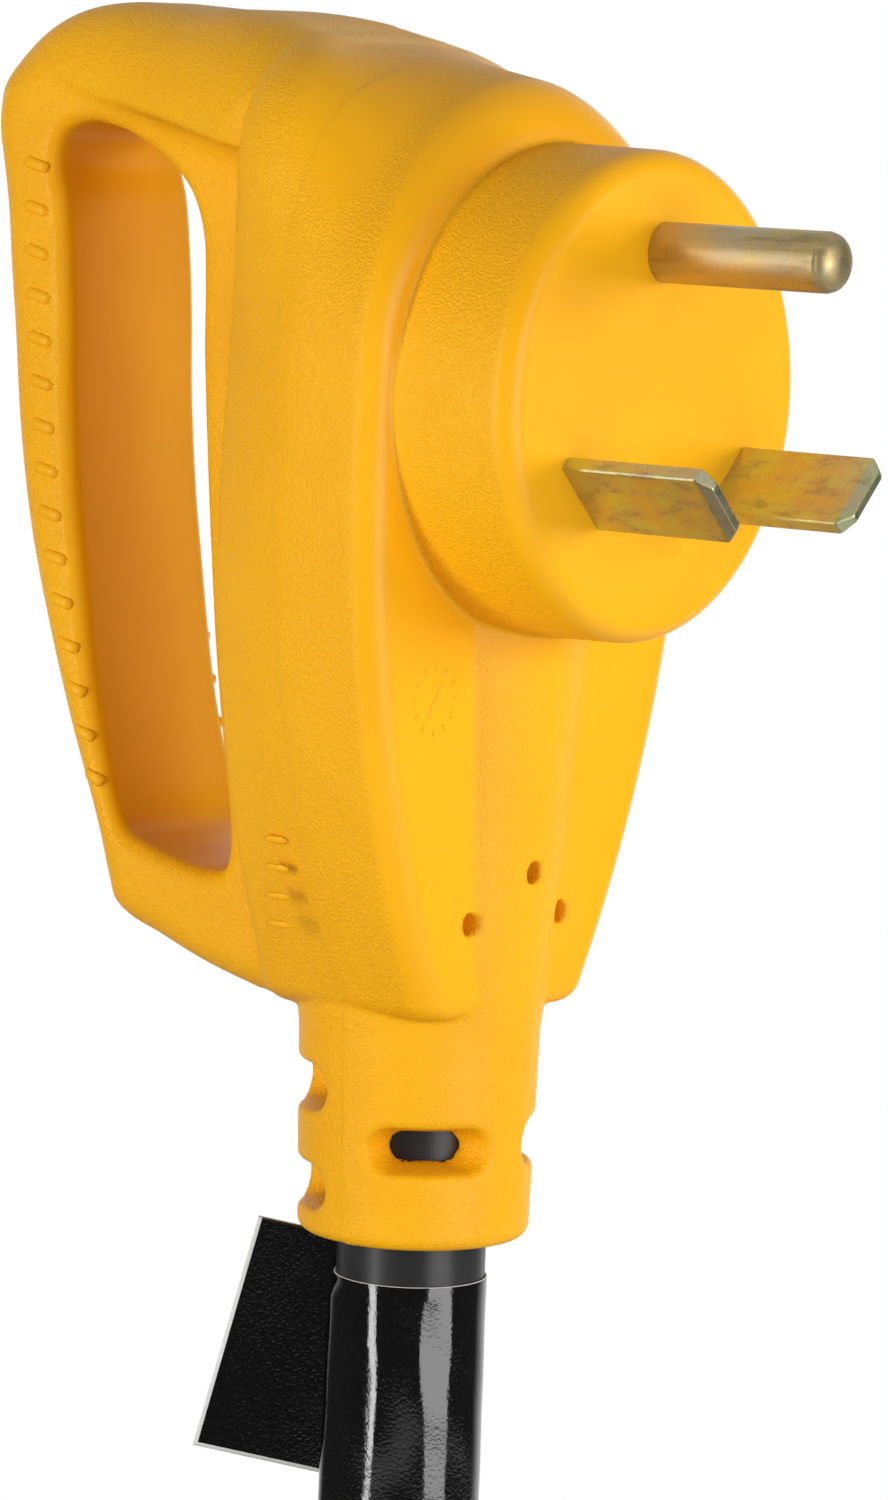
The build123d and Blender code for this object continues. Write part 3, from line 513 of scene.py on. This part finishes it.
def makeBody(s):
    low, high = (-s["halfWidth"] - 1.3, -1.2, s["neckLevels"][0] - 1.3), (s["halfWidth"] + 1.3, 91, 42.6)
    vertices, faces = meshFromField(bodyField, low, high, s["grid"])
    vertices = settle(vertices, bodyField)
    body = meshObject("plugBody", vertices * mm, faces, bodyPlastic)
    # pebbled skin on the flanks, crown, handle and neck; smooth on the face, the shield's front and the edges
    normal, _ = fieldNormal(vertices, bodyField)
    x, y, z = vertices.T
    onRib = smoothStep(17.5 - np.hypot(x, y - s["cordAxis"]), -1.5, 0.5) * smoothStep(-z, 24, 28)
    facing = smoothStep(-normal[:, 1], 0.12, 0.45)
    rim = smoothStep(-y, -2.9, -1.9)
    grain = (1 - facing * (1 - 0.6 * onRib)) * (1 - rim)
    grain = grain * (1 - 0.75 * smoothStep(y, 52, 56) * smoothStep(normal[:, 1] * 0 - np.abs(normal[:, 0]), -0.3, -0.1) * (openingShape.at(y, z) < 1))
    data = body.data.attributes.new("grain", "FLOAT", "POINT")
    data.data.foreach_set("value", grain.astype(np.float32))
    return body


body = makeBody(bodySettings)
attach(body, "cord_set")
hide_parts("grip_body")
print("plug body:", len(body.data.vertices), "points")

# raised marks: low rounded ridges that follow the body's skin
markSettings = {
    "ribCount": 15, "ribLow": -48.0, "ribHigh": 22.0, "ribLength": 3.9, "ribWidth": 1.5, "ribHeight": 0.45,
    "dialAt": (-17.1, -33.6), "dialRadius": 4.2, "dialTicks": 12, "flankCount": 4, "flankFrom": (33.4, -60.5), "flankTo": (34.3, -51.0),
}


def ridge(points, outward, width, height, field=bodyField, closed=False):
    # a strip with a rounded top along points near the skin; outward is the side to come from
    points = settle(np.asarray(points, float), field, 6)
    normal, _ = fieldNormal(points, field)
    along = np.gradient(points, axis=0)
    if closed:
        along = np.roll(points, -1, 0) - np.roll(points, 1, 0)
    along /= np.linalg.norm(along, axis=1)[:, None]
    side = np.cross(normal, along)
    profile = ((-0.5, -0.25), (-0.44, 0.25), (-0.3, 0.82), (0, 1), (0.3, 0.82), (0.44, 0.25), (0.5, -0.25))
    count, rows = len(points), []
    for n, (p, d, w) in enumerate(zip(points, normal, side)):
        ends = 1 if closed else min(1, 0.35 + 1.3 * min(n, count - 1 - n) / 1.5)
        tall = 1 if closed else (-0.25 if n in (0, count - 1) else 1)
        rows.append([p + w * a * width * ends + d * height * (b if b < 0 else b * tall) for a, b in profile])
    size = len(profile)
    vertices = np.array(rows).reshape(-1, 3)
    faces = []
    for n in range(count if closed else count - 1):
        m = (n + 1) % count
        for k in range(size - 1):
            faces.append((n * size + k, m * size + k, m * size + k + 1, n * size + k + 1))
        faces.append((n * size + size - 1, m * size + size - 1, m * size, n * size))
    return vertices, faces


def joinStrips(name, strips, material):
    vertices, faces, start = [], [], 0
    for v, f in strips:
        vertices.append(v)
        faces += [tuple(i + start for i in face) for face in f]
        start += len(v)
    piece = meshObject(name, np.concatenate(vertices) * mm, faces, material)
    mesh = bmesh.new()
    mesh.from_mesh(piece.data)
    bmesh.ops.holes_fill(mesh, edges=[e for e in mesh.edges if e.is_boundary], sides=0)
    bmesh.ops.recalc_face_normals(mesh, faces=mesh.faces)
    mesh.to_mesh(piece.data)
    mesh.free()
    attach(piece, "cord_set")
    return piece


def gripCentre(z):
    # middle of the handle's flat side at a height
    front = np.interp(z, [p[1] for p in openingOutline[8::-1]], [p[0] for p in openingOutline[8::-1]])
    back = np.interp(z, [p[1] for p in handleOutline[23:14:-1]], [p[0] for p in handleOutline[23:14:-1]])
    return (front + 1.2 + back - 3.2) / 2


def makeMarks(s):
    strips = []
    for side in (-1, 1):
        for z in np.linspace(s["ribLow"], s["ribHigh"], s["ribCount"]):
            middle = gripCentre(z)
            spread = np.linspace(-0.5, 0.5, 7) * s["ribLength"]
            strips.append(ridge([(side * 11.9, middle + d, z + 0.22 * d) for d in spread], side, s["ribWidth"], s["ribHeight"]))
    joinStrips("gripRibs", strips, bodyPlastic)
    strips = []
    cx, cz = s["dialAt"]
    for n in range(s["dialTicks"]):
        turn = 2 * math.pi * n / s["dialTicks"]
        reach = np.linspace(0.72, 1.0, 5) * s["dialRadius"]
        strips.append(ridge([(cx + r * math.sin(turn), 16.3, cz + r * math.cos(turn)) for r in reach], -1, 0.55, 0.14))
    strips.append(ridge([(cx + t * 1.6, 16.3, cz + t * 2.4) for t in np.linspace(-0.9, 0.9, 7)], -1, 0.6, 0.14))
    joinStrips("shieldDial", strips, markPlastic)
    strips = []
    for side in (-1, 1):
        for k in range(s["flankCount"]):
            t = k / (s["flankCount"] - 1)
            y, z = (a + (b - a) * t for a, b in zip(s["flankFrom"], s["flankTo"]))
            strips.append(ridge([(side * 24, y + d, z) for d in np.linspace(-1.7, 1.7, 6)], side, 0.9, 0.22))
    joinStrips("flankRibs", strips, bodyPlastic)


makeMarks(markSettings)
print("raised marks made")

# the power cord: down from the plug, round in a flat coil on the floor, up to the connector
cordSettings = {
    "diameter": 17, "length": 7.62,
    "lead": [(0, 30.1, -96.9), (0, 30.1, -114), (0, 30.1, -160.9), (-24.62, 25.76, -204.2), (-67.26, 18.24, -229.2), (-111.58, 10.43, -229.2)],
    "centre": (-132.85, 131.06), "outerTurn": 122.5, "pitch": 17, "turnsPerLayer": 2.7153, "layers": 4, "stepTurns": 0.25, "startAngle": -80,
    "topLevel": -229.2, "pointsPerTurn": 16,
    "tail": [(-71.6, 237.15, -280.2), (-19.64, 207.15, -280.2), (9.86, 156.05, -259.75), (9.86, 103.06, -259.75)],
}


def coilPoints(s):
    layerTurns, stepTurns, layers = s["turnsPerLayer"], s["stepTurns"], s["layers"]
    total = layers * layerTurns + (layers - 1) * stepTurns
    count = round(total * s["pointsPerTurn"])
    inner = s["outerTurn"] - s["pitch"] * layerTurns
    points = []
    for k in range(count):
        gone = (k + 0.5) * total / count
        layer = min(int(gone / (layerTurns + stepTurns)), layers - 1)
        done = gone - layer * (layerTurns + stepTurns)
        sweep = min(done, layerTurns) * s["pitch"]
        radius = s["outerTurn"] - sweep if layer % 2 == 0 else inner + sweep
        drop = layer + max(done - layerTurns, 0) / stepTurns
        radius /= math.cos(math.pi * total / count)
        angle = math.radians(s["startAngle"]) - 2 * math.pi * gone
        points.append((s["centre"][0] + radius * math.cos(angle), s["centre"][1] + radius * math.sin(angle), s["topLevel"] - s["diameter"] * drop))
    return points


def makeCord(s):
    route = s["lead"] + coilPoints(s) + s["tail"]
    data = bpy.data.curves.new("powerCord", "CURVE")
    data.dimensions = "3D"
    data.bevel_depth = s["diameter"] / 2 * mm
    data.bevel_resolution = 12
    data.use_fill_caps = True
    data.resolution_u = 8
    spline = data.splines.new("NURBS")
    spline.points.add(len(route) - 1)
    for point, place in zip(spline.points, route):
        point.co = (*(c * mm for c in place), 1)
    spline.order_u = 3
    spline.use_endpoint_u = True
    data.materials.append(jacketVinyl)
    cord = bpy.data.objects.new("powerCord", data)
    scene.collection.objects.link(cord)
    return cord


cord = makeCord(cordSettings)
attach(cord, "cord_set")
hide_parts("cord_lead", "cord_coil", "cord_tail")
print("cord laid")

# materials of the CAD pieces that stay in view
nodeMaterials = {
    "moulded_core": coreVinyl, "blade_bridge": bridgeNylon, "ground_pin": pinMetal, "line_blade": bladeMetal, "neutral_blade": bladeMetal,
    "jacket_end": jacketVinyl, "connector_jacket_end": jacketVinyl, "connector_core": coreVinyl, "contact_carrier": carrierPlastic,
    "connector_body": connectorPlastic, "locking_ring": connectorPlastic, "mouth_gasket": gasketRubber,
}
for wire, sheath in (("ground", greenSheath), ("line", blackSheath), ("neutral", whiteSheath)):
    nodeMaterials[wire + "_crimp"] = contactMetal
    nodeMaterials[wire + "_contact"] = contactMetal
    for start in ("", "connector_"):
        nodeMaterials[start + wire + "_wire"] = sheath
        nodeMaterials[start + wire + "_strands"] = copperMetal


def finishNode(name, material):
    node = frame["nodes"][name]
    if not node.material_slots:
        node.data.materials.append(material)
    for slot in node.material_slots:
        slot.material = material
    return node


for name, material in nodeMaterials.items():
    finishNode(name, material)


terminalSettings = {
    "pinCentre": (0, 15.95), "pinRadius": 3.35, "pinShank": 2.75, "pinDome": 1.9, "pinTurns": 72,
    "bladeCentres": {"line_blade": (-13.5, -9.9), "neutral_blade": (13.5, -9.9)}, "bladeWide": 9.9, "bladeThick": 1.8,
    "bladeTip": 0.5, "cornerCut": 1.45, "leadIn": 1.3, "leadDepth": 0.38, "edgeCut": 0.16,
}


def skinSections(name, sections, material):
    # a closed skin over a row of cross-sections with the same number of points
    count = len(sections[0])
    faces = [(k * count + j, k * count + (j + 1) % count, (k + 1) * count + (j + 1) % count, (k + 1) * count + j)
             for k in range(len(sections) - 1) for j in range(count)]
    mesh = bmesh.new()
    points = [mesh.verts.new(Vector(p) * mm) for row in sections for p in row]
    for face in faces:
        mesh.faces.new([points[i] for i in face])
    mesh.faces.new(points[:count])
    mesh.faces.new(points[-count:])
    bmesh.ops.recalc_face_normals(mesh, faces=mesh.faces)
    data = bpy.data.meshes.new(name)
    mesh.to_mesh(data)
    mesh.free()
    data.materials.append(material)
    piece = bpy.data.objects.new(name, data)
    scene.collection.objects.link(piece)
    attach(piece, "cord_set")
    return piece


def makeGroundPin(s):
    low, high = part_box("ground_pin")
    tip, end = low.y / mm, high.y / mm
    r, dome, cx, cz = s["pinRadius"], s["pinDome"], *s["pinCentre"]
    profile = [(0.02, tip)]
    profile += [(0.97 * r * math.sin(a), tip + dome * (1 - math.cos(a))) for a in np.linspace(0.12, math.pi / 2, 12)]
    profile += [(0.985 * r, tip + dome + 0.05), (r, tip + dome + 0.22)]
    profile += [(r, y) for y in np.linspace(tip + dome + 1, -0.05, 10)]
    profile += [(r, 0.02), (s["pinShank"], 0.04), (s["pinShank"], end)]
    angles = np.linspace(0, 2 * math.pi, s["pinTurns"], endpoint=False)
    sections = [[(cx + radius * math.cos(a), y, cz + radius * math.sin(a)) for a in angles] for radius, y in profile]
    pin = skinSections("groundPin", sections, pinMetal)
    pin.data.shade_smooth()
    pin.data.set_sharp_from_angle(angle=math.radians(40))
    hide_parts("ground_pin")


def makeBlade(s, node):
    low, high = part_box(node)
    tip, end = low.y / mm, high.y / mm
    tip -= s["bladeTip"]
    cx, cz = s["bladeCentres"][node]
    across = Vector((math.copysign(1, cx), 0, 1)).normalized()
    through = Vector((-across.z, 0, across.x))
    sections = []
    # tip, top of the lead-in, end of the corner cuts, then the full blade
    rows = [(tip, s["cornerCut"] + 0.35, s["leadDepth"] + 0.08), (tip + 0.12, s["cornerCut"], s["leadDepth"]), (tip + s["leadIn"], 0.12, 0.03),
            (tip + s["cornerCut"] + 0.1, 0, 0)]
    rows += [(y, 0, 0) for y in np.linspace(tip + 3, end, 12)]
    for y, narrow, thin in rows:
        w, t, c = s["bladeWide"] / 2 - narrow, s["bladeThick"] / 2 - thin, s["edgeCut"]
        ring = []
        for u, v in ((w - c, t), (w, t - c), (w, c - t), (w - c, -t), (c - w, -t), (-w, c - t), (-w, t - c), (c - w, t)):
            p = across * u + through * v
            ring.append((cx + p.x, y, cz + p.z))
        sections.append(ring)
    blade = skinSections({"line_blade": "lineBlade", "neutral_blade": "neutralBlade"}[node], sections, bladeMetal)
    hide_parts(node)


makeGroundPin(terminalSettings)
for node in terminalSettings["bladeCentres"]:
    makeBlade(terminalSettings, node)
print("materials set on the CAD pieces")

# label: a glossy wrap round the cord with a flag that stands out behind it
labelSettings = {
    "axis": 30.1, "inner": 8.52, "outer": 8.75, "top": -101.8, "bottom": -130.4, "turns": 120, "levels": 60, "lift": 1.0,
    "flagSize": (25, 28), "flagThick": 0.6, "skew": 0.06, "border": 0.45, "along": (-0.609, 0.793), "normal": (0.793, 0.609), "tilt": 14,
    "flagLevel": -113.5, "flagStandoff": 9.17, "flagOut": 8.8,
}


def makeWrap(s):
    rows, faces = [], []
    angles = np.linspace(0, 2 * math.pi, s["turns"], endpoint=False)
    levels = np.linspace(s["top"], s["bottom"], s["levels"])
    sag = lambda a, z, at, level, wide, tall: np.exp(-(((a - at + math.pi) % (2 * math.pi) - math.pi) / wide) ** 2 - ((z - level) / tall) ** 2)
    for z in levels:
        # slack in the film: shallow dents and a long ripple where it was pressed round the cord
        dent = 0.20 * sag(angles, z, 3.75, -124, 0.22, 5) + 0.16 * sag(angles, z, 4.1, -108, 0.16, 6) - 0.10 * sag(angles, z, 3.45, -117, 0.12, 9)
        dent += 0.035 * np.sin(3 * angles + 0.25 * z) * np.sin(0.33 * z + angles)
        fade = smoothStep(s["top"] - z, 0.2, 3)
        # the film leaves the cord on one side to make the flag
        lift = s["lift"] * np.exp(-((angles - math.radians(132)) / 0.3) ** 2) * (0.55 + 0.45 * (s["top"] - z) / (s["top"] - s["bottom"]))
        radius = s["outer"] - (np.clip(dent, -0.12, 0.2) - lift) * fade
        rows.append(np.stack([radius * np.cos(angles), s["axis"] + radius * np.sin(angles), np.full_like(angles, z)], 1))
    lip = [(s["outer"] - 0.03, s["top"] + 0.06), (s["inner"], s["top"] + 0.06)]
    for radius, z in lip:
        rows.insert(0, np.stack([radius * np.cos(angles), s["axis"] + radius * np.sin(angles), np.full_like(angles, z)], 1))
    rows.append(np.stack([s["inner"] * np.cos(angles), s["axis"] + s["inner"] * np.sin(angles), np.full_like(angles, s["bottom"])], 1))
    rings, turns = len(rows), s["turns"]
    for i in range(rings):
        for j in range(turns):
            a, b, n = (i + 1) % rings, (j + 1) % turns, turns
            faces.append((i * n + j, a * n + j, a * n + b, i * n + b))
    piece = meshObject("labelWrap", np.concatenate(rows) * mm, faces, labelVinyl)
    piece.data.materials.append(labelEdge)
    for face in piece.data.polygons:
        ring = face.index // turns
        face.material_index = 1 if ring in (0, 1, rings - 1) else 0
    return piece


def makeFlag(s):
    # built flat, then turned and carried to its place beside the cord
    wide, tall = s["flagSize"]
    along, out = Vector((*s["along"], 0)).normalized(), Vector((*s["normal"], 0)).normalized()
    tilt = Matrix.Rotation(math.radians(s["tilt"]), 4, out)
    origin = Vector((0, s["axis"], s["flagLevel"])) + out * s["flagStandoff"] + along * s["flagOut"]
    basis = Matrix((along, Vector((0, 0, 1)), out)).transposed().to_4x4()
    place = Matrix.Translation(origin) @ tilt @ basis
    mesh = bmesh.new()
    across, down = 24, 26
    grid = {}
    # the outermost cells are a narrow pale border where the two films meet
    spread = lambda n, count, size: [-size / 2] + list(np.linspace(-size / 2 + s["border"], size / 2 - s["border"], count - 1)) + [size / 2]
    us, vs = spread(across, across, wide), spread(down, down, tall)
    for side in (0, 1):
        for i in range(across + 1):
            for j in range(down + 1):
                u, v = us[i], vs[j]
                v -= s["skew"] * u
                bow = 0.25 * math.sin(2.2 * u / wide + 0.6) * math.cos(2.6 * v / tall)
                grid[side, i, j] = mesh.verts.new(place @ Vector((u, v, bow + (side - 0.5) * s["flagThick"])))
    edgeFaces = []
    for i in range(across):
        for j in range(down):
            for side in (0, 1):
                corner = [grid[side, i, j], grid[side, i + 1, j], grid[side, i + 1, j + 1], grid[side, i, j + 1]]
                face = mesh.faces.new(corner if side else corner[::-1])
                face.material_index = 1 if i in (0, across - 1) or j == 0 else 0
    border = [(i, 0) for i in range(across)] + [(across, j) for j in range(down)]
    border += [(i, down) for i in range(across, 0, -1)] + [(0, j) for j in range(down, 0, -1)]
    for (a, b), (c, d) in zip(border, border[1:] + border[:1]):
        edgeFaces.append(mesh.faces.new((grid[0, a, b], grid[0, c, d], grid[1, c, d], grid[1, a, b])))
    for face in edgeFaces:
        face.material_index = 1
    for face in mesh.faces:
        face.smooth = face not in edgeFaces
    bmesh.ops.recalc_face_normals(mesh, faces=mesh.faces)
    data = bpy.data.meshes.new("labelFlag")
    mesh.to_mesh(data)
    mesh.free()
    data.transform(Matrix.Scale(mm, 4))
    data.materials.append(labelVinyl)
    data.materials.append(labelEdge)
    flag = bpy.data.objects.new("labelFlag", data)
    scene.collection.objects.link(flag)
    for edge in data.edges:
        edge.use_edge_sharp = False
    return flag


wrap, flag = makeWrap(labelSettings), makeFlag(labelSettings)
for piece, node in ((wrap, "label_wrap"), (flag, "label_flag")):
    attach(piece, "cord_set")
    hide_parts(node)
print("label made")

# studio: pale floor, white surroundings, soft lamps
studioSettings = {
    "floorLevel": -0.2887, "floorRadius": 0.63, "floorShade": 0.74, "fadeFrom": 0.38, "fadeTo": 0.6, "ambient": 0.12,
    "lamps": {
        "frontLamp": ((-0.12, -1.15, 0.02), (0.8, 0.95), 8.6),
        "sideLamp": ((-1.10, 0.42, 0.00), (0.2, 1.0), 5.0),
        "fillSide": ((-1.08, 0.36, 0.05), (0.4, 0.5), 4.9),
        "fillRight": ((0.80, -0.85, 0.10), (0.5, 0.5), 8.0),
        "fillLeft": ((-0.95, -0.70, 0.05), (0.5, 0.45), 1.7),
    },
    "behind": (0.79, 0.60, -0.12), "glossDim": 0.06, "glossCeiling": 0.6,
}


def makeFloor(s):
    data = bpy.data.meshes.new("studioFloor")
    turns = [2 * math.pi * n / 96 for n in range(96)]
    data.from_pydata([(s["floorRadius"] * math.cos(t), s["floorRadius"] * math.sin(t), 0) for t in turns], [], [tuple(range(96))])
    floor = bpy.data.objects.new("studioFloor", data)
    floor.location.z = s["floorLevel"]
    scene.collection.objects.link(floor)
    material, tree, shader = startMaterial("floorPaint")
    shader.inputs["Base Color"].default_value = (s["floorShade"],) * 3 + (1,)
    shader.inputs["Roughness"].default_value = 0.8
    place = addNode(tree, "ShaderNodeTexCoord").outputs["Object"]
    reach = addNode(tree, "ShaderNodeVectorMath", {"operation": "LENGTH"}, in0=place).outputs["Value"]
    fade = toRange(tree, reach, s["fadeFrom"], s["fadeTo"], 0, 1)
    seen = addNode(tree, "ShaderNodeLightPath").outputs["Is Camera Ray"]
    glow = addNode(tree, "ShaderNodeEmission", Strength=1.0)
    blend = addNode(tree, "ShaderNodeMixShader", in0=multiply(tree, fade, seen), in1=shader.outputs[0], in2=glow.outputs[0])
    tree.links.new(blend.outputs[0], tree.nodes["Material Output"].inputs["Surface"])
    data.materials.append(material)


def makeSurroundings(s):
    world = bpy.data.worlds.new("studioWorld")
    world.use_nodes = True
    scene.world = world
    tree = world.node_tree
    path = addNode(tree, "ShaderNodeLightPath")
    # the white sheet stands on one side of the object, and the rest of the room is dimmer in its reflections
    look = addNode(tree, "ShaderNodeTexCoord").outputs["Generated"]
    side = addNode(tree, "ShaderNodeVectorMath", {"operation": "DOT_PRODUCT"}, in0=look, in1=s["behind"]).outputs["Value"]
    sheet = toRange(tree, side, 0.5, 0.9, s["glossDim"], 1)
    height = addNode(tree, "ShaderNodeSeparateXYZ", Vector=look).outputs[2]
    ceiling = toRange(tree, height, 0.25, 0.8, 0, s["glossCeiling"])
    sheet = addNode(tree, "ShaderNodeMath", {"operation": "MAXIMUM"}, in0=sheet, in1=ceiling).outputs[0]
    bounce = path.outputs["Is Glossy Ray"]
    bounce = addNode(tree, "ShaderNodeMath", {"operation": "MAXIMUM"}, in0=bounce, in1=path.outputs["Is Transmission Ray"]).outputs[0]
    strength = addNode(tree, "ShaderNodeMix", {"data_type": "FLOAT"}, in0=bounce, in2=s["ambient"], in3=sheet).outputs[0]
    strength = addNode(tree, "ShaderNodeMix", {"data_type": "FLOAT"}, in0=path.outputs["Is Camera Ray"], in2=strength, in3=1.0).outputs[0]
    tree.links.new(strength, tree.nodes["Background"].inputs["Strength"])
    tree.nodes["Background"].inputs["Color"].default_value = (1, 1, 1, 1)


def makeLamps(s):
    aim = Vector((0, 0.03, -0.02))
    for name, (place, size, power) in s["lamps"].items():
        data = bpy.data.lights.new(name, "AREA")
        data.shape = "RECTANGLE"
        data.size, data.size_y = size
        data.energy = power
        lamp = bpy.data.objects.new(name, data)
        lamp.location = place
        lamp.visible_glossy = not name.startswith("fill")
        lamp.rotation_euler = (aim - Vector(place)).to_track_quat("-Z", "Y").to_euler()
        scene.collection.objects.link(lamp)


makeFloor(studioSettings)
makeSurroundings(studioSettings)
makeLamps(studioSettings)
scene.view_settings.view_transform = "Standard"
print("studio set")

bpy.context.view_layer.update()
